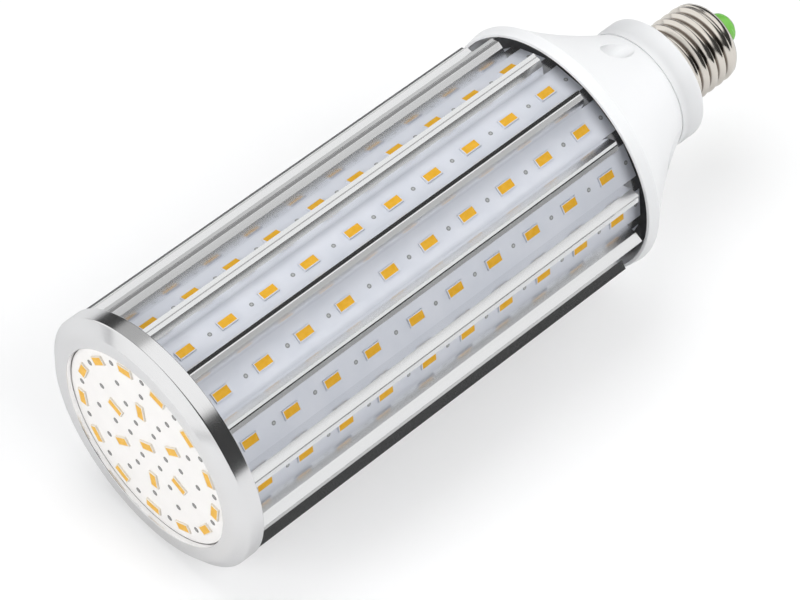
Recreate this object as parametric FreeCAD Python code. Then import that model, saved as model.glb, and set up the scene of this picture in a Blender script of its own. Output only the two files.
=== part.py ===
import FreeCAD, Part
import math
import os

# LED corn bulb, standing on its lit end with the screw cap upwards. Millimetres.
# The lamp's axis is Z, and the front face of the end ring lies on z = 0.

# Widest part of the lamp: the end ring and the collar's band
lamp_radius = 40.2

# End ring, a turned cap that closes the lit end
ring_chamfer_width = 3.6
ring_chamfer_depth = 2.7
ring_depth = 7.6
mouth_radius = 32.0
wire_hole_radius = 4.0

# Circuit boards and LED chips
board_thick = 1.2
board_width = 10.4
board_start_gap = 0.2
end_board_recess = 1.75
end_board_gap = 0.2
chip_length = 5.6
chip_width = 3.0
chip_height = 0.6
chips_per_strip = 10
chip_pitch = 14.72
first_chip_from_ring = 6.5
chips_before_gap = 4
chip_gap_extra = 1.5
outer_chip_count = 13
outer_chip_radius = 27.3
outer_chip_phase = -3.9
inner_chip_count = 6
inner_chip_radius = 13.7
inner_chip_phase = 8.3
centre_chip_turn = 17.0

# Heat sink, a finned extrusion with one flat for each side board
strip_count = 14
strip_phase = -13.2
fin_length = 144.8
core_extra = 5.4
fin_tip_inset = 0.4
fin_height = 7.8
board_side_gap = 0.05
foot_rise = 1.1
crest_back = 1.1
crest_front = 0.3
crest_bevel_width = 1.0
crest_bevel_depth = 0.6
sink_wall = 3.5
port_count = 4
port_phase = 45.0
port_distance = 24.1
port_radius = 3.4
port_hole_radius = 1.5
port_web_width = 4.0

# Collar, the moulded housing behind the fins
vent_gap = 2.5
rim_draft = 0.5
rim_wall = 1.0
band_height = 3.6
flare_height = 31.6
flare_hollow = 1.25
flare_steps = 2
flare_wall = 1.8
collar_neck_radius = 19.5
collar_bore_radius = 17.5
pocket_radius = 3.6
pocket_floor_height = 13.1
boss_radius = 5.0
screw_clear_radius = 1.7

# Neck ring
neck_radius = 20.1
neck_height = 8.9
neck_round = 2.7
neck_round_steps = 2
plug_length = 8.0
plug_bore_radius = 9.0

# E27 cap: shell, insulator and contact
shell_radius = 13.2
shell_bore_radius = 11.7
shell_length = 24.4
shoulder_drop = 2.2
lip_radius = 9.9
lip_thick = 0.5
fit_gap = 0.1
lip_gap = 0.2
nose_height = 5.9
nose_radius = 4.8
nose_steps = 2
insulator_depth = 1.5
contact_radius = 3.6
contact_rise = 0.5

# Screws
screw_radius = 1.45
screw_head_radius = 2.8
screw_head_height = 2.0
collar_screw_length = 24.0

# Driver
plate_side_gap = 2.1
plate_thick = 1.6
sleeve_width = 39.6
sleeve_depth = 25.6
sleeve_wall = 1.2
sleeve_length = 52.0
driver_thick = 1.6
driver_side_gap = 0.1
driver_length = 78.0
driver_above_plate = 22.6
lead_radius = 0.8
neutral_offset = 6.0
neutral_above_plug = 2.0
lead_overlap = 6.0
lead_clear = 2.0
supply_spacing = 2.2
transformer_size = (16.0, 11.0, 18.0)
capacitor_radius = 4.5
capacitor_height = 11.0
capacitor_spacing = 7.0
capacitor_up = 13.0
choke_size = (12.0, 9.0, 10.0)
rectifier_size = (8.0, 3.0, 8.0)
fuse_radius = 2.0
fuse_length = 8.0
part_spacing = 8.0
part_gap = 2.5

# Radii worked out from the sizes above
ring_face_radius = lamp_radius - ring_chamfer_width
rim_radius = lamp_radius - rim_draft
fin_tip_radius = lamp_radius - fin_tip_inset
flat_distance = fin_tip_radius - fin_height

# Driver sizes and places worked out from the sizes above
plate_radius = rim_radius - rim_wall - plate_side_gap
driver_width = sleeve_width - 2 * sleeve_wall - 2 * driver_side_gap
transformer_up = capacitor_up + capacitor_radius + part_gap
choke_up = transformer_up + transformer_size[2] + part_gap

# Heights worked out from the sizes above
fin_end = ring_depth + fin_length
core_end = fin_end + core_extra
rim_z = fin_end + vent_gap
band_z = rim_z + band_height
neck_z = band_z + flare_height
pocket_floor_z = rim_z + pocket_floor_height
plate_top = core_end + plate_thick
shell_z = neck_z + neck_height
shell_end = shell_z + shell_length
nose_z = shell_end + nose_height
contact_top = nose_z + contact_rise
driver_top = plate_top + driver_above_plate
driver_bottom = driver_top - driver_length
upper_parts_top = driver_top - lead_overlap - lead_clear
board_back_z = end_board_recess + board_thick

ORIGIN = FreeCAD.Vector(0, 0, 0)
AXIS = FreeCAD.Vector(0, 0, 1)


def point(r, z):
    """A point of a profile that is turned about the axis."""
    return FreeCAD.Vector(r, 0, z)


def line(a, b):
    return Part.LineSegment(a, b).toShape()


def arc(a, middle, b):
    return Part.Arc(a, middle, b).toShape()


def turned(edges):
    """Solid of revolution of a closed profile about the axis."""
    face = Part.Face(Part.Wire(Part.__sortEdges__(edges)))
    return face.revolve(ORIGIN, AXIS, 360)


def turned_polygon(points):
    corners = [point(r, z) for r, z in points]
    edges = [line(a, b) for a, b in zip(corners, corners[1:] + corners[:1])]
    return turned(edges)


def cylinder(radius, z0, z1, x=0.0, y=0.0):
    return Part.makeCylinder(radius, z1 - z0, FreeCAD.Vector(x, y, z0), AXIS)


def block(x0, x1, y0, y1, z0, z1):
    return Part.makeBox(x1 - x0, y1 - y0, z1 - z0, FreeCAD.Vector(x0, y0, z0))


def spun(shape, degrees):
    """A copy of a shape, turned about the axis."""
    copy = shape.copy()
    copy.rotate(ORIGIN, AXIS, degrees)
    return copy


def at_ports(shape):
    """One copy of a shape, drawn on the X axis, at each screw port."""
    return [spun(shape, port_phase + i * 360.0 / port_count) for i in range(port_count)]


def strip_angle(i):
    return strip_phase + i * 360.0 / strip_count


def export(name, shape):
    shape.exportStep(os.path.join("parts", name + ".step"))


def bowed(a, b, bow, steps):
    """Profile points from a to b on a shallow curve, bowed to the left of the way from a to b."""
    run = math.hypot(b[0] - a[0], b[1] - a[1])
    across = ((a[1] - b[1]) / run, (b[0] - a[0]) / run)
    points = []
    for i in range(steps + 1):
        t = i / steps
        lift = 4 * bow * t * (1 - t)
        r = a[0] + (b[0] - a[0]) * t + across[0] * lift
        z = a[1] + (b[1] - a[1]) * t + across[1] * lift
        points.append((r, z))
    return points


def rounded(foot, crown, steps):
    """Profile points on a quarter of an ellipse, upright at the foot and level at the crown."""
    points = []
    for i in range(steps + 1):
        turn = math.radians(90.0 * i / steps)
        r = crown[0] + (foot[0] - crown[0]) * math.cos(turn)
        z = foot[1] + (crown[1] - foot[1]) * math.sin(turn)
        points.append((r, z))
    return points


def fin_profile():
    """Outline of the extrusion: flats for the boards, and fins with a straight back and a hollow front."""
    half = math.pi / strip_count
    pocket = board_width / 2 + board_side_gap
    out = FreeCAD.Vector(math.cos(half), math.sin(half), 0)
    across = FreeCAD.Vector(-math.sin(half), math.cos(half), 0)
    shelf = fin_tip_radius - crest_bevel_depth

    def mirrored(p):
        return out * p.dot(out) - across * p.dot(across)

    floor = FreeCAD.Vector(flat_distance, pocket, 0)
    foot = FreeCAD.Vector(flat_distance + foot_rise, pocket, 0)
    lip = out * fin_tip_radius - across * crest_back
    bevel_end = out * shelf - across * (crest_back - crest_bevel_width)
    front = out * shelf + across * crest_front
    # The front is an arc that leaves the crest square and runs out to the next board's foot
    span = mirrored(foot) - front
    sweep = span.dot(span) / (2 * span.dot(across))
    centre = front + across * sweep
    middle = (front + mirrored(foot)) * 0.5 - centre
    hollow = centre + middle * (sweep / middle.Length)
    edges = []
    for i in range(strip_count):
        piece = [
            line(FreeCAD.Vector(flat_distance, -pocket, 0), floor),
            line(floor, foot),
            line(foot, lip),
            line(lip, bevel_end),
            line(bevel_end, front),
            arc(front, hollow, mirrored(foot)),
            line(mirrored(foot), mirrored(floor)),
        ]
        edges += [spun(edge, strip_angle(i)) for edge in piece]
    return Part.Wire(Part.__sortEdges__(edges))


def sink_bore():
    """Inside of the extrusion, with a flat behind each board so that the wall is even."""
    half = math.pi / strip_count
    corner = FreeCAD.Vector((flat_distance - sink_wall) / math.cos(half), 0, ring_depth)
    corners = []
    for i in range(strip_count + 1):
        turn = FreeCAD.Rotation(AXIS, strip_angle(i) + math.degrees(half))
        corners.append(turn.multVec(corner))
    return Part.Face(Part.makePolygon(corners)).extrude(FreeCAD.Vector(0, 0, core_end - ring_depth))


def heat_sink():
    """Finned extrusion, with its fins turned down where the core goes into the collar."""
    outline = fin_profile()
    outline.translate(FreeCAD.Vector(0, 0, ring_depth))
    sink = Part.Face(outline).extrude(FreeCAD.Vector(0, 0, core_end - ring_depth))
    core_radius = math.hypot(flat_distance + board_thick, board_width / 2)
    turned_off = cylinder(lamp_radius, fin_end, core_end).cut(cylinder(core_radius, fin_end, core_end))
    sink = sink.cut(sink_bore()).cut(turned_off)
    web_end = flat_distance - sink_wall / 2
    half_web = port_web_width / 2
    web = block(port_distance, web_end, -half_web, half_web, ring_depth, core_end)
    port = cylinder(port_radius, ring_depth, core_end, port_distance).fuse(web)
    hole = cylinder(port_hole_radius, ring_depth, core_end, port_distance)
    sink = sink.fuse(at_ports(port)).cut(Part.makeCompound(at_ports(hole)))
    return sink.removeSplitter()


def end_ring():
    return turned_polygon([
        (wire_hole_radius, board_back_z),
        (mouth_radius, board_back_z),
        (mouth_radius, 0),
        (ring_face_radius, 0),
        (lamp_radius, ring_chamfer_depth),
        (lamp_radius, ring_depth),
        (wire_hole_radius, ring_depth),
    ])


def end_board():
    return cylinder(mouth_radius - end_board_gap, end_board_recess, board_back_z)


def end_chips():
    """Chips on the end board: a ring lying along its rim, a ring of spokes and one in the middle."""
    low = end_board_recess - chip_height
    half_length = chip_length / 2
    half_width = chip_width / 2
    spoke = block(-half_length, half_length, -half_width, half_width, low, end_board_recess)
    chips = [spun(spoke, centre_chip_turn)]
    spoke.translate(FreeCAD.Vector(inner_chip_radius, 0, 0))
    chips += [spun(spoke, inner_chip_phase + i * 360.0 / inner_chip_count) for i in range(inner_chip_count)]
    rim = block(-half_width, half_width, -half_length, half_length, low, end_board_recess)
    rim.translate(FreeCAD.Vector(outer_chip_radius, 0, 0))
    chips += [spun(rim, outer_chip_phase + i * 360.0 / outer_chip_count) for i in range(outer_chip_count)]
    return Part.makeCompound(chips)


def side_board():
    half = board_width / 2
    start = ring_depth + board_start_gap
    return block(flat_distance, flat_distance + board_thick, -half, half, start, core_end)


def side_chips():
    """One strip's chips, in two runs of even pitch with a wider gap between them."""
    base = flat_distance + board_thick
    chips = []
    for i in range(chips_per_strip):
        middle = ring_depth + first_chip_from_ring + i * chip_pitch
        if i >= chips_before_gap:
            middle += chip_gap_extra
        low = middle - chip_length / 2
        high = middle + chip_length / 2
        chips.append(block(base, base + chip_height, -chip_width / 2, chip_width / 2, low, high))
    return Part.makeCompound(chips)


def collar_outside():
    flare = bowed((lamp_radius, band_z), (collar_neck_radius, neck_z), flare_hollow, flare_steps)
    return turned_polygon([(0, rim_z), (rim_radius, rim_z)] + flare + [(0, neck_z)])


def collar_inside():
    inner = rim_radius - rim_wall
    return turned_polygon([
        (0, rim_z),
        (inner, rim_z),
        (inner, band_z - flare_wall / 2),
        (collar_bore_radius, neck_z - flare_wall),
        (collar_bore_radius, neck_z),
        (0, neck_z),
    ])


def base_collar():
    outside = collar_outside()
    shell = outside.cut(collar_inside())
    boss = cylinder(boss_radius, plate_top, neck_z, port_distance)
    bosses = [shape.common(outside) for shape in at_ports(boss)]
    pocket = cylinder(pocket_radius, pocket_floor_z, neck_z, port_distance)
    hole = cylinder(screw_clear_radius, plate_top, neck_z, port_distance)
    collar = shell.fuse(bosses)
    collar = collar.cut(Part.makeCompound(at_ports(pocket) + at_ports(hole)))
    return collar.removeSplitter()


def collar_screws():
    head = cylinder(screw_head_radius, pocket_floor_z, pocket_floor_z + screw_head_height, port_distance)
    shank = cylinder(screw_radius, pocket_floor_z - collar_screw_length, pocket_floor_z, port_distance)
    return Part.makeCompound(at_ports(head.fuse(shank).removeSplitter()))


def neck_ring():
    """Flanged bush: a rounded flange on the collar and a plug that carries the shell."""
    plug = shell_bore_radius - fit_gap
    edge = rounded((neck_radius, shell_z - neck_round), (neck_radius - neck_round, shell_z), neck_round_steps)
    return turned_polygon([(plug_bore_radius, neck_z), (neck_radius, neck_z)] + edge + [
        (plug, shell_z),
        (plug, shell_z + plug_length),
        (plug_bore_radius, shell_z + plug_length),
    ])


def screw_shell():
    """Rolled shell, plain to the crests of its thread, drawn in to a lip over the insulator."""
    shoulder_end = shell_end - shoulder_drop
    return turned_polygon([
        (shell_bore_radius, shell_z),
        (shell_radius, shell_z),
        (shell_radius, shoulder_end),
        (lip_radius, shell_end),
        (lip_radius, shell_end - lip_thick),
        (shell_bore_radius, shoulder_end - lip_thick),
    ])


def cap_insulator():
    """Moulded nose: a flange behind the shell's lip, then a dome up to the contact."""
    flange = shell_bore_radius - fit_gap
    nose_foot = lip_radius - fit_gap
    flange_top = shell_end - shoulder_drop - lip_thick - lip_gap
    low = flange_top - insulator_depth
    dome = rounded((nose_foot, shell_end), (nose_radius, nose_z), nose_steps)
    hole = lead_radius + fit_gap
    foot = [(hole, low), (flange, low), (flange, flange_top), (nose_foot, shell_end - lip_thick - lip_gap)]
    return turned_polygon(foot + dome + [(hole, nose_z)])


def centre_contact():
    return cylinder(contact_radius, nose_z, contact_top)


def tray_block(width, depth, z0, z1):
    return block(-width / 2, width / 2, -depth / 2, depth / 2, z0, z1)


def driver_tray():
    """Plate between the extrusion and the collar, with an open box that reaches down inside the extrusion."""
    low = plate_top - sleeve_length
    plate = cylinder(plate_radius, core_end, plate_top)
    hole = cylinder(screw_clear_radius, core_end, plate_top, port_distance)
    sleeve = tray_block(sleeve_width, sleeve_depth, low, plate_top)
    inside = tray_block(sleeve_width - 2 * sleeve_wall, sleeve_depth - 2 * sleeve_wall, low, plate_top)
    tray = plate.fuse(sleeve).cut(Part.makeCompound(at_ports(hole) + [inside]))
    return tray.removeSplitter()


def driver_board():
    half = driver_width / 2
    face = -lead_radius
    return block(-half, half, face - driver_thick, face, driver_bottom, driver_top)


def on_driver(size, up, x=0.0):
    """Block that stands on the driver board, up from the board's lower end."""
    width, height, length = size
    low = driver_bottom + up
    face = -lead_radius
    return block(x - width / 2, x + width / 2, face, face + height, low, low + length)


def standing(radius, height, up, x=0.0):
    """Cylinder that stands on the driver board."""
    foot = FreeCAD.Vector(x, -lead_radius, driver_bottom + up)
    return Part.makeCylinder(radius, height, foot, FreeCAD.Vector(0, 1, 0))


def capacitors():
    pair = [standing(capacitor_radius, capacitor_height, capacitor_up, x * capacitor_spacing) for x in (-1, 1)]
    return Part.makeCompound(pair)


def fuse():
    low = upper_parts_top - fuse_length
    return cylinder(fuse_radius, low, upper_parts_top, part_spacing, fuse_radius - lead_radius)


def rectifier():
    up = upper_parts_top - driver_bottom - rectifier_size[2]
    return on_driver(rectifier_size, up, -part_spacing)


def live_lead():
    """Wire up the axis and through the insulator to the back of the contact."""
    return cylinder(lead_radius, driver_top - lead_overlap, nose_z)


def neutral_lead():
    """Wire up inside the plug, bent square over its end to meet the shell."""
    turn_z = shell_z + plug_length + neutral_above_plug
    upright = cylinder(lead_radius, driver_top - lead_overlap, turn_z + lead_radius, neutral_offset)
    start = FreeCAD.Vector(neutral_offset, 0, turn_z)
    reach = shell_bore_radius - fit_gap - neutral_offset
    level = Part.makeCylinder(lead_radius, reach, start, FreeCAD.Vector(1, 0, 0))
    return upright.fuse(level).removeSplitter()


def supply_leads():
    high = driver_bottom + lead_overlap
    pair = [cylinder(lead_radius, board_back_z, high, x * supply_spacing) for x in (-1, 1)]
    return Part.makeCompound(pair)


def main():
    os.makedirs("parts", exist_ok=True)
    export("heat_sink", heat_sink())
    for i in range(strip_count):
        number = "%02d" % (i + 1)
        export("side_board_" + number, spun(side_board(), strip_angle(i)))
        export("side_chips_" + number, spun(side_chips(), strip_angle(i)))
    export("end_ring", end_ring())
    export("end_board", end_board())
    export("end_chips", end_chips())
    export("base_collar", base_collar())
    export("collar_screws", collar_screws())
    export("neck_ring", neck_ring())
    export("screw_shell", screw_shell())
    export("cap_insulator", cap_insulator())
    export("centre_contact", centre_contact())
    export("driver_tray", driver_tray())
    export("driver_board", driver_board())
    export("transformer", on_driver(transformer_size, transformer_up))
    export("capacitors", capacitors())
    export("line_choke", on_driver(choke_size, choke_up))
    export("rectifier", rectifier())
    export("fuse", fuse())
    export("live_lead", live_lead())
    export("neutral_lead", neutral_lead())
    export("supply_leads", supply_leads())


main()
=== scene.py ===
import math

import bmesh
import bpy
from mathutils import Matrix, Vector


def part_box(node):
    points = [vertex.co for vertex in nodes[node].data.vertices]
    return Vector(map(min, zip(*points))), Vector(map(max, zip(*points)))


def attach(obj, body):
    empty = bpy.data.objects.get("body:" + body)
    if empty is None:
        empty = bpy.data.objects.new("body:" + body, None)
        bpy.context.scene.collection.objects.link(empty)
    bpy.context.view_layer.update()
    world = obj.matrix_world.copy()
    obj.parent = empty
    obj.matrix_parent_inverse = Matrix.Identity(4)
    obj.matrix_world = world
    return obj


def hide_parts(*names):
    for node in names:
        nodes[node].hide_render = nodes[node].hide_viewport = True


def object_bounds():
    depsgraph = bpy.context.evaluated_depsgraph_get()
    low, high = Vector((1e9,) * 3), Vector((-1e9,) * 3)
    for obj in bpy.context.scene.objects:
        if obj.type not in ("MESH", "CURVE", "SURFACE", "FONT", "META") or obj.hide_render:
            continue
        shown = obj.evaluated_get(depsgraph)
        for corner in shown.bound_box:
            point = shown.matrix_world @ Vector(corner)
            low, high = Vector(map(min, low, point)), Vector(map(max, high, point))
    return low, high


# Looks for the corn LED bulb. Metres, in the frame's own axes: the lamp's axis is +Z, lit end at z = 0.
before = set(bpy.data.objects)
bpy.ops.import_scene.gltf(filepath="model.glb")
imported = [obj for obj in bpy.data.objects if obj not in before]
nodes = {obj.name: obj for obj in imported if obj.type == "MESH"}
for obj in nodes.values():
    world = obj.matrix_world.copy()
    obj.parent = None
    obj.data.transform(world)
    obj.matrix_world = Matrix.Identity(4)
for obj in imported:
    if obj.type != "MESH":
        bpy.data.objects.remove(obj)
cad_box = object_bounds()

MM = 0.001

# Camera, as the photograph was taken: the lamp lies on the floor and is seen from above its lit end
camera_place = Vector((0.81926, -0.19903, -0.32143))
camera_aim = Vector((0.00209, 0.00824, 0.08829))
camera_lens = 150.5
camera_sensor = 36.0
camera_reach = 20.0
floor_up = Vector((1, -1, 0)).normalized()

# LED chips: package edge, rim round the window, and how far the window is sunk and tapers
chip_edge = 0.10 * MM
chip_rim = 0.28 * MM
chip_sink = 0.06 * MM
window_inset = 1.1 * chip_rim

# Test points between the chips: a raised edge round a shallow pool of tin
dot_radius = 0.68 * MM
dot_first = 22.7 * MM
dot_pitch = 14.83 * MM
dot_count = 10
dot_height = 0.05 * MM
dot_sides = 14
dot_crown = 0.9
dot_pool = 0.45
dot_pool_level = 0.6

# Test points of the end board: radius in mm, count and first angle of each ring
end_dot_radius = 0.95 * MM
end_dot_rings = ((7.4, 6, 38.0), (13.6, 6, 38.3), (20.4, 12, 12.0), (27.3, 13, 10.0))

# Fins: sections of the front and the back laid over the CAD ones, in mm, as (across, out from the tip)
strip_count = 14
fin_phase = -0.343
fin_end = 152.4 * MM
fin_in_ring = 1.0 * MM
fin_crease = 10.0
fin_front = (
    (-0.15, -0.62),
    (0.22, -0.62),
    (1.50, -1.00),
    (1.58, -1.08),
    (2.30, -2.85),
    (2.36, -6.72),
    (1.20, -6.72),
    (-0.15, -2.00),
)
fin_back = (
    (-0.90, -0.60),
    (-1.12, -0.04),
    (-2.26, -2.85),
    (-2.36, -6.72),
    (-1.00, -6.72),
)

# Collar, as a smooth turned shape in the space of the CAD one
rim_draft = 0.5 * MM
rim_wall = 1.0 * MM
rim_bulge = 0.05 * MM
edge_round = 0.35 * MM
edge_middle = (0.10 * MM, 0.12 * MM)
band_height = 3.6 * MM
flare_steps = 24
flare_hollow = 1.25 * MM
flare_inward = 0.84
flare_down = 0.55
flare_wall = 1.8 * MM
flare_under_neck = 0.75 * MM
collar_bore = 17.5 * MM
boss_inset = 7.0 * MM
pocket_count = 4
pocket_phase = 45.0
pocket_distance = 24.1 * MM
pocket_radius = 3.6 * MM
pocket_depth = 22.1 * MM
pocket_wall = 0.6 * MM
pocket_overshoot = 10.0 * MM
pocket_sides = 48

# Neck ring and nose, as smooth turned shapes
neck_height = 8.9 * MM
neck_round = 1.3 * MM
neck_step = 0.3 * MM
neck_step_height = 2.4 * MM
neck_foot = 1.0 * MM
neck_in_shell = 1.5 * MM
neck_crease = 50.0
nose_height = 5.9 * MM
nose_foot = 5.7 * MM
nose_top = 3.8 * MM
nose_sunk = 1.2 * MM
nose_under_contact = 0.5 * MM
nose_crease = 60.0
round_steps = 10
turned_sides = 160

# Screw shell
thread_pitch = 3.5 * MM
thread_root = 11.80 * MM
thread_fullness = 0.72
thread_crest = 13.15 * MM
thread_run_in = 1.2 * MM
thread_run_out = 1.4 * MM
shoulder_radius = thread_crest - 0.25 * MM
shoulder_steps = 6
shell_round = 4.0 * MM
shell_sides = 144
shell_rings = 150

# Rounds on the hard edges of CAD nodes
fin_soft = 0.15 * MM
ring_soft = 0.3 * MM
contact_soft = 0.15 * MM
screw_soft = 0.2 * MM

# Pieces inside the lamp: node, material, two shades and roughness
inner_pieces = (
    # The tray's near-black is painted shade: it darkens the collar's mouth, seen through the gap behind the
    # boards' ends.
    ("driver_tray", "tray_painted_shade", (0.012, 0.012, 0.013), (0.022, 0.022, 0.024), 0.55),
    ("driver_board", "driver_green", (0.02, 0.12, 0.04), (0.035, 0.17, 0.06), 0.4),
    ("transformer", "ferrite", (0.02, 0.02, 0.022), (0.04, 0.04, 0.043), 0.6),
    ("line_choke", "choke_black", (0.03, 0.03, 0.03), (0.05, 0.05, 0.052), 0.5),
    ("rectifier", "rectifier_black", (0.015, 0.015, 0.016), (0.03, 0.03, 0.032), 0.45),
    ("capacitors", "capacitor_sleeve", (0.01, 0.015, 0.05), (0.02, 0.025, 0.08), 0.3),
    ("fuse", "fuse_body", (0.50, 0.47, 0.36), (0.60, 0.57, 0.45), 0.3),
)

# Floor: two tones, and the glow that only the camera sees
floor_reach = 4.0
floor_tones = (0.69, 0.71)
floor_glow = 0.31

# Soft lamps: name, way as (right, away, up), distance, size and power
softboxes = (
    ("key", (-0.20, 0.30, 0.93), 1.1, 0.8, 4.2),
    ("front", (0.60, -0.45, 0.66), 1.2, 0.9, 6.2),
    ("rear", (0.75, 0.60, 0.25), 1.1, 0.7, 3.5),
    ("side", (-0.80, -0.50, 0.35), 1.2, 0.8, 7.2),
    ("under", (0.1, -0.1, -1.0), 1.2, 1.0, 2.0),
)

# White cards that the metal mirrors: way as (right, away, up), cosines of the edge and the core, and strength
cards = (
    ((0.30, 0.27, 0.91), 0.77, 0.86, 1.1),
    ((-1.0, -0.15, 0.0), 0.36, 0.50, 1.1),
    ((-0.17, 0.79, 0.59), 0.950, 0.972, 0.52),
)
room_level = 0.05
fill_level = 0.38
fill_colour = (0.97, 0.98, 1.0, 1.0)


# Shader helpers

def new_material(name, metallic=0.0):
    material = bpy.data.materials.new(name)
    material.use_nodes = True
    shader = material.node_tree.nodes["Principled BSDF"]
    shader.inputs["Metallic"].default_value = metallic
    return material, material.node_tree, shader


def operation_node(tree, kind, operation):
    node = tree.nodes.new(kind)
    node.operation = operation
    return node


def noise(tree, scale, stretch=(1, 1, 1), detail=3.0, vector=None):
    """Noise in the frame's axes, stretched along one of them, or on a vector of its own."""
    if vector is None:
        vector = tree.nodes.new("ShaderNodeTexCoord").outputs["Object"]
    mapping = tree.nodes.new("ShaderNodeMapping")
    mapping.inputs["Scale"].default_value = stretch
    texture = tree.nodes.new("ShaderNodeTexNoise")
    texture.inputs["Scale"].default_value = scale
    texture.inputs["Detail"].default_value = detail
    tree.links.new(vector, mapping.inputs["Vector"])
    tree.links.new(mapping.outputs["Vector"], texture.inputs["Vector"])
    return texture.outputs["Fac"]


def axis_distance(tree):
    """Distance of a point from the lamp's axis."""
    coords = tree.nodes.new("ShaderNodeTexCoord")
    flat = operation_node(tree, "ShaderNodeVectorMath", "MULTIPLY")
    flat.inputs[1].default_value = (1, 1, 0)
    reach = operation_node(tree, "ShaderNodeVectorMath", "LENGTH")
    tree.links.new(coords.outputs["Object"], flat.inputs[0])
    tree.links.new(flat.outputs["Vector"], reach.inputs[0])
    return reach.outputs["Value"]


def lathe_vector(tree):
    """Radius and height of a point, so that noise on it runs round the axis as turning marks do."""
    coords = tree.nodes.new("ShaderNodeTexCoord")
    split = tree.nodes.new("ShaderNodeSeparateXYZ")
    join = tree.nodes.new("ShaderNodeCombineXYZ")
    tree.links.new(coords.outputs["Object"], split.inputs["Vector"])
    tree.links.new(axis_distance(tree), join.inputs["X"])
    tree.links.new(split.outputs["Z"], join.inputs["Z"])
    return join.outputs["Vector"]


def tint(tree, shader, source, low, high):
    """Base colour that wanders between two shades."""
    ramp = tree.nodes.new("ShaderNodeValToRGB")
    ramp.color_ramp.elements[0].position = 0.3
    ramp.color_ramp.elements[0].color = (*low, 1.0)
    ramp.color_ramp.elements[1].position = 0.7
    ramp.color_ramp.elements[1].color = (*high, 1.0)
    tree.links.new(source, ramp.inputs["Fac"])
    tree.links.new(ramp.outputs["Color"], shader.inputs["Base Color"])


def roughen(tree, shader, source, low, high):
    """Roughness that wanders between two values."""
    spread = tree.nodes.new("ShaderNodeMapRange")
    spread.inputs["From Min"].default_value = 0.3
    spread.inputs["From Max"].default_value = 0.7
    spread.inputs["To Min"].default_value = low
    spread.inputs["To Max"].default_value = high
    tree.links.new(source, spread.inputs["Value"])
    tree.links.new(spread.outputs["Result"], shader.inputs["Roughness"])


def relief(tree, shader, source, strength, height):
    """Fine unevenness of a surface."""
    bump = tree.nodes.new("ShaderNodeBump")
    bump.inputs["Strength"].default_value = strength
    bump.inputs["Distance"].default_value = height
    tree.links.new(source, bump.inputs["Height"])
    tree.links.new(bump.outputs["Normal"], shader.inputs["Normal"])


# Materials

def extruded_aluminium():
    """Bright drawn aluminium, with faint die lines in its gloss along the lamp."""
    material, tree, shader = new_material("extruded_aluminium", metallic=1.0)
    lines = noise(tree, 900, (1, 1, 0.004), 2)
    tint(tree, shader, noise(tree, 60, (1, 1, 0.1)), (0.88, 0.885, 0.89), (0.93, 0.935, 0.94))
    roughen(tree, shader, lines, 0.17, 0.20)
    return material


def turned_aluminium():
    """Polished turned aluminium, with fine marks round the axis."""
    material, tree, shader = new_material("turned_aluminium", metallic=1.0)
    marks = noise(tree, 2500, vector=lathe_vector(tree))
    tint(tree, shader, noise(tree, 40), (0.92, 0.92, 0.925), (0.95, 0.95, 0.955))
    roughen(tree, shader, marks, 0.14, 0.20)
    relief(tree, shader, marks, 0.05, 0.02 * MM)
    return material


def solder_mask(name, low, high):
    """White solder mask over copper: smooth, slightly uneven and half glossy."""
    material, tree, shader = new_material(name)
    shader.inputs["Specular IOR Level"].default_value = 0.35
    tint(tree, shader, noise(tree, 120), low, high)
    roughen(tree, shader, noise(tree, 300), 0.38, 0.5)
    relief(tree, shader, noise(tree, 1500, detail=4), 0.08, 0.03 * MM)
    return material


def chip_package(name, low, high):
    """Moulded package of an LED chip."""
    material, tree, shader = new_material(name)
    tint(tree, shader, noise(tree, 800), low, high)
    roughen(tree, shader, noise(tree, 1200), 0.35, 0.5)
    return material


def phosphor(name, low, high):
    """Orange gel over the LED die, a little clouded."""
    material, tree, shader = new_material(name)
    shader.inputs["Specular IOR Level"].default_value = 0.15
    tint(tree, shader, noise(tree, 700), low, high)
    roughen(tree, shader, noise(tree, 1500), 0.45, 0.6)
    relief(tree, shader, noise(tree, 2500), 0.1, 0.05 * MM)
    return material


def test_point(name, low, high):
    """Tin of a test point, one shade for its edge and one for its pool."""
    material, tree, shader = new_material(name)
    tint(tree, shader, noise(tree, 1500), low, high)
    roughen(tree, shader, noise(tree, 2000), 0.3, 0.5)
    return material


def gloss_white(name, low, high):
    """Moulded white plastic, smooth and slightly cloudy."""
    material, tree, shader = new_material(name)
    shader.inputs["Specular IOR Level"].default_value = 0.3
    tint(tree, shader, noise(tree, 25), low, high)
    roughen(tree, shader, noise(tree, 40), 0.30, 0.36)
    return material


def nickel():
    """Nickel plate with a warm cast, with painted shade that darkens the thread's roots."""
    material, tree, shader = new_material("nickel", metallic=1.0)
    # Painted shade: by distance from the axis, the colour darkens to brown towards the thread's roots, with a
    # little random mottle.
    depth = tree.nodes.new("ShaderNodeMapRange")
    depth.inputs["From Min"].default_value = thread_root
    depth.inputs["From Max"].default_value = thread_root + 0.55 * (thread_crest - thread_root)
    mottle_and_root_shade = operation_node(tree, "ShaderNodeMath", "MULTIPLY_ADD")
    mottle_and_root_shade.inputs[1].default_value = 0.15
    tree.links.new(axis_distance(tree), depth.inputs["Value"])
    tree.links.new(noise(tree, 90), mottle_and_root_shade.inputs[0])
    tree.links.new(depth.outputs["Result"], mottle_and_root_shade.inputs[2])
    tint(tree, shader, mottle_and_root_shade.outputs["Value"], (0.22, 0.18, 0.15), (0.88, 0.83, 0.76))
    roughen(tree, shader, noise(tree, 400, detail=5), 0.10, 0.18)
    relief(tree, shader, noise(tree, 900), 0.06, 0.04 * MM)
    return material


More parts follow.
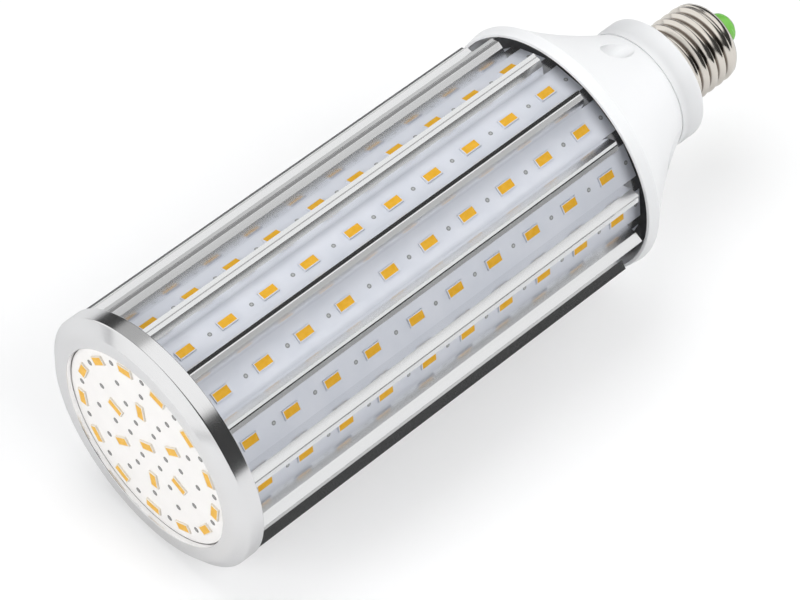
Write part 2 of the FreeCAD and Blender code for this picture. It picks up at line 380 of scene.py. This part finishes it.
def speckled(name, low, high, rough, metallic=0.0, scale=150):
    """Plain moulded, wound or plated piece with a fine mottled surface."""
    material, tree, shader = new_material(name, metallic=metallic)
    tint(tree, shader, noise(tree, scale), low, high)
    roughen(tree, shader, noise(tree, scale * 3), rough * 0.85, rough * 1.15)
    relief(tree, shader, noise(tree, scale * 5), 0.05, 0.05 * MM)
    return material


# Mesh helpers

def dress(node, material):
    """Gives a CAD node its material, with smooth shading."""
    mesh = nodes[node].data
    mesh.materials.clear()
    mesh.materials.append(material)
    if mesh.has_custom_normals:
        mesh.attributes.remove(mesh.attributes["custom_normal"])
    mesh.polygons.foreach_set("use_smooth", [True] * len(mesh.polygons))
    return nodes[node]


def soften(obj, width, segments=2, angle=28.0):
    """Small rounds on the hard edges of a CAD node, and normals that keep its flats flat."""
    weld = obj.modifiers.new("weld", "WELD")
    weld.merge_threshold = 0.001 * MM
    flats = obj.modifiers.new("flats", "DECIMATE")
    flats.decimate_type = "DISSOLVE"
    flats.angle_limit = math.radians(0.3)
    bevel = obj.modifiers.new("rounds", "BEVEL")
    bevel.width = width
    bevel.segments = segments
    bevel.limit_method = "ANGLE"
    bevel.angle_limit = math.radians(angle)
    bevel.use_clamp_overlap = True
    normals = obj.modifiers.new("normals", "WEIGHTED_NORMAL")
    normals.keep_sharp = True


def link_mesh(name, bm):
    """Turns a bmesh into an object of the scene."""
    mesh = bpy.data.meshes.new(name)
    bm.to_mesh(mesh)
    bm.free()
    obj = bpy.data.objects.new(name, mesh)
    bpy.context.scene.collection.objects.link(obj)
    return obj


def piece(name, bm, materials, smooth=True):
    """Turns a bmesh into a piece that rides on the lamp."""
    obj = link_mesh(name, bm)
    for material in materials:
        obj.data.materials.append(material)
    obj.data.polygons.foreach_set("use_smooth", [smooth] * len(obj.data.polygons))
    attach(obj, "root")
    return obj


def crisp(obj, angle=35.0):
    """Smooth shading that keeps the edges sharper than an angle."""
    obj.data.set_sharp_from_angle(angle=math.radians(angle))


def loop_ring(bm, points):
    return [bm.verts.new(p) for p in points]


def bridge(bm, lower, upper):
    """Quads between two closed rings of the same length."""
    count = len(lower)
    for i in range(count):
        j = (i + 1) % count
        bm.faces.new((lower[i], lower[j], upper[j], upper[i]))


def stack(bm, rings):
    """Skin over a row of closed rings."""
    for lower, upper in zip(rings, rings[1:]):
        bridge(bm, lower, upper)


def axis_ring(bm, sides, z, radius_at):
    """Ring about the lamp's axis, with the radius given for each turn."""
    points = []
    for i in range(sides):
        turn = 2 * math.pi * i / sides
        r = radius_at(turn)
        points.append((r * math.cos(turn), r * math.sin(turn), z))
    return loop_ring(bm, points)


def islands(node):
    """The separate solids of a CAD node, each as its corner points and face normals."""
    bm = bmesh.new()
    bm.from_mesh(nodes[node].data)
    bmesh.ops.remove_doubles(bm, verts=bm.verts, dist=0.002 * MM)
    left = set(bm.verts)
    found = []
    while left:
        queue = [left.pop()]
        group = set(queue)
        while queue:
            for edge in queue.pop().link_edges:
                for v in edge.verts:
                    if v in left:
                        left.remove(v)
                        group.add(v)
                        queue.append(v)
        normals = [f.normal.copy() for v in group for f in v.link_faces]
        found.append(([v.co.copy() for v in group], normals))
    bm.free()
    return found


def box_frame(points, normals):
    """Centre, axes and lengths of a box solid, longest axis first."""
    axes = []
    for n in normals:
        if all(abs(n.dot(a)) < 0.5 for a, _ in axes):
            spread = [p.dot(n) for p in points]
            axes.append((n, max(spread) - min(spread)))
    axes.sort(key=lambda a: -a[1])
    centre = sum(points, Vector()) / len(points)
    return centre, [a for a, _ in axes], [length for _, length in axes]


# LED chips and test points

def rectangle(centre, along, across, length, width):
    half_length = along * (length / 2)
    half_width = across * (width / 2)
    return [
        centre - half_length - half_width,
        centre + half_length - half_width,
        centre + half_length + half_width,
        centre - half_length + half_width,
    ]


def add_chip(bm, centre, along, across, out, size):
    """White package with a sunk window of phosphor, in the space of its CAD solid."""
    length, width, height = size
    foot = centre - out * (height / 2)
    top = centre + out * (height / 2)
    levels = (
        (foot, 0.0),
        (top - out * chip_edge, 0.0),
        (top, chip_edge),
        (top, chip_rim),
        (top - out * chip_sink, window_inset),
    )
    rings = []
    for middle, inset in levels:
        corners = rectangle(middle, along, across, length - 2 * inset, width - 2 * inset)
        rings.append(loop_ring(bm, corners))
    stack(bm, rings)
    window = bm.faces.new(rings[-1])
    window.material_index = 1


def add_disc(bm, centre, out, radius):
    """Test point with a raised edge, standing just proud of a board."""
    side = out.orthogonal().normalized()
    other = out.cross(side)
    turns = [2 * math.pi * i / dot_sides for i in range(dot_sides)]
    rim = [side * math.cos(t) + other * math.sin(t) for t in turns]
    rings = []
    for share, level in ((1.0, 0.0), (dot_crown, 1.0), (dot_pool, dot_pool_level)):
        middle = centre + out * (dot_height * level)
        rings.append(loop_ring(bm, [middle + d * (radius * share) for d in rim]))
    stack(bm, rings)
    pool = bm.faces.new(rings[-1])
    pool.material_index = 1


def chip_strip(node, materials, outward):
    """Detailed chips in place of a CAD node's plain ones. Returns one chip's foot and outward way."""
    bm = bmesh.new()
    placed = []
    for points, normals in islands(node):
        centre, (along, across, out), size = box_frame(points, normals)
        if out.dot(outward(centre)) < 0:
            out = -out
        across = out.cross(along)
        add_chip(bm, centre, along, across, out, size)
        placed.append((centre - out * (size[2] / 2), out))
    chips = piece(node + "_detail", bm, materials, smooth=False)
    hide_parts(node)
    return placed[0]


def from_axis(point):
    return Vector((point.x, point.y, 0)).normalized()


def downwards(point):
    return Vector((0, 0, -1))


def add_side_strip(number, chip_materials, dot_materials):
    """Chips of one side board, and the evenly spaced test points between them."""
    foot, out = chip_strip("side_chips_" + number, chip_materials, from_axis)
    bm = bmesh.new()
    for i in range(dot_count):
        centre = Vector((foot.x, foot.y, dot_first + i * dot_pitch))
        add_disc(bm, centre, out, dot_radius)
    piece("test_points_" + number, bm, dot_materials)


def add_end_dots(materials):
    """Test points of the end board, in rings between its chips."""
    low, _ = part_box("end_board")
    bm = bmesh.new()
    for radius, count, phase in end_dot_rings:
        for i in range(count):
            turn = math.radians(phase + i * 360.0 / count)
            centre = Vector((radius * MM * math.cos(turn), radius * MM * math.sin(turn), low.z))
            add_disc(bm, centre, Vector((0, 0, -1)), end_dot_radius)
    piece("end_test_points", bm, materials)


# Fin sides

def add_fin_sides(material):
    """Upright sides and sloping shoulders of each fin, laid over the thinner CAD fin."""
    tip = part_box("heat_sink")[1].x
    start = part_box("end_ring")[1].z - fin_in_ring
    bm = bmesh.new()
    for i in range(strip_count):
        turn = math.radians(fin_phase + i * 360.0 / strip_count)
        out = Vector((math.cos(turn), math.sin(turn), 0))
        across = Vector((-math.sin(turn), math.cos(turn), 0))
        for section in (fin_front, fin_back):
            rings = []
            for z in (start, fin_end):
                base = Vector((0, 0, z))
                corners = [base + out * (tip + d * MM) + across * (t * MM) for t, d in section]
                rings.append(loop_ring(bm, corners))
            stack(bm, rings)
            bm.faces.new(rings[-1])
    bmesh.ops.recalc_face_normals(bm, faces=bm.faces)
    sides = piece("fin_sides", bm, [material])
    crisp(sides, fin_crease)


# Collar, neck ring and nose

def quarter(start, end):
    """Profile points on a quarter round, leaving the start along z and meeting the end level."""
    points = []
    for k in range(round_steps + 1):
        bend = math.radians(90.0 * k / round_steps)
        r = end[0] + (start[0] - end[0]) * math.cos(bend)
        z = start[1] + (end[1] - start[1]) * math.sin(bend)
        points.append((r, z))
    return points


def turned(profile, closed=False):
    """Surface of a profile turned about the lamp's axis."""
    bm = bmesh.new()
    rings = [axis_ring(bm, turned_sides, z, lambda turn: r) for r, z in profile]
    stack(bm, rings)
    if closed:
        bridge(bm, rings[-1], rings[0])
    bmesh.ops.recalc_face_normals(bm, faces=bm.faces)
    return bm


def collar_profile():
    """Closed section of the collar: rim, band, hollow flare, bore, pocket bosses and inner wall."""
    low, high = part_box("base_collar")
    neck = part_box("neck_ring")[1].x - flare_under_neck
    band_z = low.z + band_height
    rim = high.x - rim_draft
    inner = rim - rim_wall
    points = [
        (rim - edge_round, low.z),
        (rim - edge_middle[0], low.z + edge_middle[1]),
        (rim, low.z + edge_round),
        (high.x - rim_bulge, band_z - edge_round),
    ]
    for k in range(flare_steps + 1):
        t = k / flare_steps
        r = high.x + (neck - high.x) * t
        z = band_z + (high.z - band_z) * t
        lift = 4 * flare_hollow * t * (1 - t)
        points.append((r - flare_inward * lift, z - flare_down * lift))
    under_top = high.z - flare_wall
    boss_z = high.z - pocket_depth - flare_wall
    boss_r = pocket_distance - pocket_radius - pocket_wall
    points += [
        (collar_bore, high.z),
        (collar_bore, under_top),
        (boss_r, under_top),
        (boss_r, boss_z),
        (inner - boss_inset, boss_z),
        (inner, band_z - flare_wall / 2),
        (inner, low.z),
    ]
    return points


def pocket_cutter():
    """Four upright cylinders, as wide as the screw pockets and longer than they are deep."""
    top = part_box("base_collar")[1].z
    bm = bmesh.new()
    for i in range(pocket_count):
        turn = math.radians(pocket_phase + i * 360.0 / pocket_count)
        spot = Vector((math.cos(turn), math.sin(turn), 0)) * pocket_distance
        spot.z = top + (pocket_overshoot - pocket_depth) / 2
        bmesh.ops.create_cone(
            bm,
            cap_ends=True,
            segments=pocket_sides,
            radius1=pocket_radius,
            radius2=pocket_radius,
            depth=pocket_depth + pocket_overshoot,
            matrix=Matrix.Translation(spot),
        )
    return link_mesh("pockets", bm)


def add_collar(material):
    """Collar with its four screw pockets cut down through the flare."""
    collar = piece("base_collar_smooth", turned(collar_profile(), closed=True), [material])
    cutter = pocket_cutter()
    cut = collar.modifiers.new("pockets", "BOOLEAN")
    cut.operation = "DIFFERENCE"
    cut.solver = "EXACT"
    cut.object = cutter
    bpy.context.view_layer.update()
    shaped = bpy.data.meshes.new_from_object(collar.evaluated_get(bpy.context.evaluated_depsgraph_get()))
    collar.modifiers.clear()
    collar.data = shaped
    bpy.data.objects.remove(cutter)
    shaped.polygons.foreach_set("use_smooth", [True] * len(shaped.polygons))
    crisp(collar)
    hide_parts("base_collar")


def add_neck(material):
    """Flange between the collar and the cap, with its top edge well rounded."""
    low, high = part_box("neck_ring")
    top = low.z + neck_height
    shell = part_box("screw_shell")[1].x
    step_z = low.z + neck_step_height
    slim = high.x - neck_step
    profile = [(slim - neck_foot, low.z), (slim, low.z), (slim, step_z), (high.x, step_z + neck_step)]
    profile += quarter((high.x, top - neck_round), (high.x - neck_round, top))
    profile += [(shell - neck_in_shell, top)]
    neck = piece("neck_ring_smooth", turned(profile), [material])
    crisp(neck, neck_crease)
    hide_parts("neck_ring")


def add_nose(material):
    """Domed insulator between the shell's lip and the contact."""
    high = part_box("cap_insulator")[1]
    foot_z = high.z - nose_height
    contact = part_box("centre_contact")[1].x
    profile = [(nose_foot, foot_z - nose_sunk)]
    profile += quarter((nose_foot, foot_z), (nose_top, high.z))
    profile += [(contact - nose_under_contact, high.z)]
    nose = piece("cap_insulator_smooth", turned(profile), [material])
    crisp(nose, nose_crease)
    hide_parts("cap_insulator")


# Screw shell

def shell_radius(turn, z, start, end):
    """Rolled thread that rises from a plain foot and runs out into a plain shoulder."""
    phase = (z - start) / thread_pitch - turn / (2 * math.pi)
    wave = 0.5 - 0.5 * math.cos(2 * math.pi * phase)
    ridge = thread_root + (thread_crest - thread_root) * wave ** thread_fullness
    blend = min(max((z - (end - shell_round - thread_run_out)) / thread_run_out, 0.0), 1.0)
    foot = min(max((z - start) / thread_run_in, 0.0), 1.0)
    radius = ridge + (shoulder_radius - ridge) * blend * blend * (3 - 2 * blend)
    return thread_root + (radius - thread_root) * foot


def add_screw_shell(material):
    """Shell with its true helical thread and a rounded shoulder, in the space of the CAD one."""
    low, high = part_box("screw_shell")
    shoulder_z = high.z - shell_round
    bm = bmesh.new()
    rings = []
    for k in range(shell_rings + 1):
        z = low.z + (shoulder_z - low.z) * k / shell_rings
        rings.append(axis_ring(bm, shell_sides, z, lambda turn: shell_radius(turn, z, low.z, high.z)))
    for step in range(1, shoulder_steps + 1):
        bend = math.radians(90.0 * step / shoulder_steps)
        r = nose_foot + (shoulder_radius - nose_foot) * math.cos(bend)
        z = shoulder_z + (high.z - shoulder_z) * math.sin(bend)
        rings.append(axis_ring(bm, shell_sides, z, lambda turn: r))
    stack(bm, rings)
    shell = piece("screw_shell_thread", bm, [material])
    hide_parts("screw_shell")


# Studio

def photo_axes():
    """Right and away along the floor, as the camera sees them."""
    look = (camera_aim - camera_place).normalized()
    away = (look - floor_up * look.dot(floor_up)).normalized()
    return away.cross(floor_up), away


photo_right, photo_away = photo_axes()


def in_studio(right, away, up):
    return photo_right * right + photo_away * away + floor_up * up


def add_camera():
    data = bpy.data.cameras.new("camera")
    data.sensor_width = camera_sensor
    data.lens = camera_lens
    data.clip_end = camera_reach
    camera = bpy.data.objects.new("camera", data)
    look = (camera_aim - camera_place).normalized()
    right = look.cross(floor_up).normalized()
    up = right.cross(look)
    turn = Matrix((right, up, -look)).transposed()
    camera.matrix_world = Matrix.Translation(camera_place) @ turn.to_4x4()
    bpy.context.scene.collection.objects.link(camera)
    bpy.context.scene.camera = camera


def floor_material():
    """White floor that keeps the lamp's shadow. From behind it is clear, so it hides nothing there."""
    material = bpy.data.materials.new("floor")
    material.use_nodes = True
    tree = material.node_tree
    tree.nodes.clear()
    out = tree.nodes.new("ShaderNodeOutputMaterial")
    white = tree.nodes.new("ShaderNodeBsdfDiffuse")
    tone = tree.nodes.new("ShaderNodeValToRGB")
    for element, shade in zip(tone.color_ramp.elements, floor_tones):
        element.color = (shade, shade, shade, 1.0)
    glow = tree.nodes.new("ShaderNodeEmission")
    shine = operation_node(tree, "ShaderNodeMath", "MULTIPLY")
    shine.inputs[1].default_value = floor_glow
    lit = tree.nodes.new("ShaderNodeAddShader")
    clear = tree.nodes.new("ShaderNodeBsdfTransparent")
    side = tree.nodes.new("ShaderNodeNewGeometry")
    path = tree.nodes.new("ShaderNodeLightPath")
    either = operation_node(tree, "ShaderNodeMath", "MAXIMUM")
    choose = tree.nodes.new("ShaderNodeMixShader")
    tree.links.new(noise(tree, 8), tone.inputs["Fac"])
    tree.links.new(tone.outputs["Color"], white.inputs["Color"])
    tree.links.new(white.outputs["BSDF"], lit.inputs[0])
    tree.links.new(path.outputs["Is Camera Ray"], shine.inputs[0])
    tree.links.new(shine.outputs["Value"], glow.inputs["Strength"])
    tree.links.new(glow.outputs["Emission"], lit.inputs[1])
    tree.links.new(side.outputs["Backfacing"], either.inputs[0])
    tree.links.new(path.outputs["Is Shadow Ray"], either.inputs[1])
    tree.links.new(either.outputs["Value"], choose.inputs["Fac"])
    tree.links.new(lit.outputs["Shader"], choose.inputs[1])
    tree.links.new(clear.outputs["BSDF"], choose.inputs[2])
    tree.links.new(choose.outputs["Shader"], out.inputs["Surface"])
    return material


def add_floor():
    """Plane that the lamp lies on."""
    depth = cad_box[1].x
    bm = bmesh.new()
    bmesh.ops.create_grid(bm, x_segments=8, y_segments=8, size=floor_reach)
    floor = link_mesh("floor", bm)
    floor.data.materials.append(floor_material())
    turn = Matrix((photo_right, photo_away, floor_up)).transposed()
    place = Vector((0, 0, cad_box[1].z / 2)) - floor_up * depth
    floor.matrix_world = Matrix.Translation(place) @ turn.to_4x4()


def add_softbox(name, direction, distance, size, power):
    """Soft lamp that lights the object and isn't itself seen."""
    data = bpy.data.lights.new(name, "AREA")
    data.shape = "DISK"
    data.size = size
    data.energy = power
    lamp = bpy.data.objects.new(name, data)
    way = direction.normalized()
    turn = way.to_track_quat("Z", "Y").to_matrix()
    lamp.matrix_world = Matrix.Translation(camera_aim + way * distance) @ turn.to_4x4()
    lamp.visible_camera = False
    lamp.visible_glossy = False
    bpy.context.scene.collection.objects.link(lamp)


def card_level(tree, way, edge, core, strength):
    """Brightness of the room towards one white card, soft at the card's edge."""
    coords = tree.nodes.new("ShaderNodeTexCoord")
    facing = operation_node(tree, "ShaderNodeVectorMath", "DOT_PRODUCT")
    facing.inputs[1].default_value = in_studio(*way).normalized()
    card = tree.nodes.new("ShaderNodeMapRange")
    card.interpolation_type = "SMOOTHSTEP"
    card.inputs["From Min"].default_value = edge
    card.inputs["From Max"].default_value = core
    card.inputs["To Min"].default_value = room_level
    card.inputs["To Max"].default_value = strength
    tree.links.new(coords.outputs["Generated"], facing.inputs[0])
    tree.links.new(facing.outputs["Value"], card.inputs["Value"])
    return card.outputs["Result"]


def add_world():
    """White to the eye and even as fill. In reflections it is a studio: white cards in a dark room."""
    world = bpy.data.worlds.new("studio")
    bpy.context.scene.world = world
    world.use_nodes = True
    tree = world.node_tree
    tree.nodes.clear()
    level = card_level(tree, *cards[0])
    for card in cards[1:]:
        brighter = operation_node(tree, "ShaderNodeMath", "MAXIMUM")
        tree.links.new(level, brighter.inputs[0])
        tree.links.new(card_level(tree, *card), brighter.inputs[1])
        level = brighter.outputs["Value"]
    out = tree.nodes.new("ShaderNodeOutputWorld")
    path = tree.nodes.new("ShaderNodeLightPath")
    seen = tree.nodes.new("ShaderNodeBackground")
    seen.inputs["Color"].default_value = (1.0, 1.0, 1.0, 1.0)
    seen.inputs["Strength"].default_value = 1.0
    fill = tree.nodes.new("ShaderNodeBackground")
    fill.inputs["Color"].default_value = fill_colour
    fill.inputs["Strength"].default_value = fill_level
    studio = tree.nodes.new("ShaderNodeBackground")
    mirrored = tree.nodes.new("ShaderNodeMixShader")
    shown = tree.nodes.new("ShaderNodeMixShader")
    tree.links.new(level, studio.inputs["Strength"])
    tree.links.new(path.outputs["Is Glossy Ray"], mirrored.inputs["Fac"])
    tree.links.new(fill.outputs["Background"], mirrored.inputs[1])
    tree.links.new(studio.outputs["Background"], mirrored.inputs[2])
    tree.links.new(path.outputs["Is Camera Ray"], shown.inputs["Fac"])
    tree.links.new(mirrored.outputs["Shader"], shown.inputs[1])
    tree.links.new(seen.outputs["Background"], shown.inputs[2])
    tree.links.new(shown.outputs["Shader"], out.inputs["Surface"])


# Lamp

def dress_metal_and_plastic():
    """Extrusion, end ring, collar, neck and nose, with the contact and the collar's screws."""
    aluminium = extruded_aluminium()
    soften(dress("heat_sink", aluminium), fin_soft)
    add_fin_sides(aluminium)
    soften(dress("end_ring", turned_aluminium()), ring_soft, 3)
    add_collar(gloss_white("collar_white", (0.86, 0.865, 0.87), (0.88, 0.885, 0.89)))
    add_neck(gloss_white("neck_white", (0.83, 0.835, 0.84), (0.85, 0.855, 0.86)))
    add_nose(speckled("insulator_green", (0.16, 0.50, 0.07), (0.22, 0.58, 0.10), 0.25))
    contact = speckled("contact_metal", (0.55, 0.53, 0.49), (0.66, 0.64, 0.60), 0.3, 1.0)
    soften(dress("centre_contact", contact), contact_soft)
    steel = speckled("screw_steel", (0.48, 0.48, 0.48), (0.60, 0.60, 0.60), 0.3, 1.0)
    soften(dress("collar_screws", steel), screw_soft)


def dress_boards():
    """Side and end boards, with their chips and test points."""
    side_mask = solder_mask("side_mask", (0.65, 0.675, 0.735), (0.70, 0.72, 0.775))
    end_mask = solder_mask("end_mask", (0.91, 0.89, 0.87), (0.94, 0.92, 0.90))
    side_chips = [
        chip_package("side_package", (0.63, 0.65, 0.705), (0.68, 0.70, 0.75)),
        phosphor("side_phosphor", (0.75, 0.39, 0.022), (0.80, 0.445, 0.046)),
    ]
    end_chips = [
        chip_package("end_package", (0.80, 0.74, 0.64), (0.86, 0.80, 0.70)),
        phosphor("end_phosphor", (0.82, 0.45, 0.07), (0.88, 0.53, 0.11)),
    ]
    side_dots = [
        test_point("tin_edge", (0.24, 0.25, 0.25), (0.30, 0.31, 0.31)),
        test_point("tin_pool", (0.42, 0.43, 0.43), (0.50, 0.51, 0.51)),
    ]
    end_dots = [
        test_point("end_tin_edge", (0.17, 0.165, 0.16), (0.23, 0.225, 0.22)),
        test_point("end_tin_pool", (0.27, 0.265, 0.26), (0.35, 0.345, 0.34)),
    ]
    dress("end_board", end_mask)
    for i in range(strip_count):
        number = "%02d" % (i + 1)
        dress("side_board_" + number, side_mask)
        add_side_strip(number, side_chips, side_dots)
    chip_strip("end_chips", end_chips, downwards)
    add_end_dots(end_dots)


def dress_inside():
    """Driver and leads, which the casing hides; the tray's near-black is painted shade, seen through the
    collar's mouth.
    """
    for node, name, low, high, rough in inner_pieces:
        dress(node, speckled(name, low, high, rough))
    wire = speckled("lead_copper", (0.55, 0.22, 0.10), (0.66, 0.30, 0.15), 0.3, 1.0)
    for lead in ("live_lead", "neutral_lead", "supply_leads"):
        dress(lead, wire)


dress_metal_and_plastic()
dress_boards()
add_screw_shell(nickel())
dress_inside()
add_camera()
add_floor()
add_world()
for name, way, distance, size, power in softboxes:
    add_softbox(name, in_studio(*way), distance, size, power)

bpy.context.scene.view_settings.view_transform = "Standard"
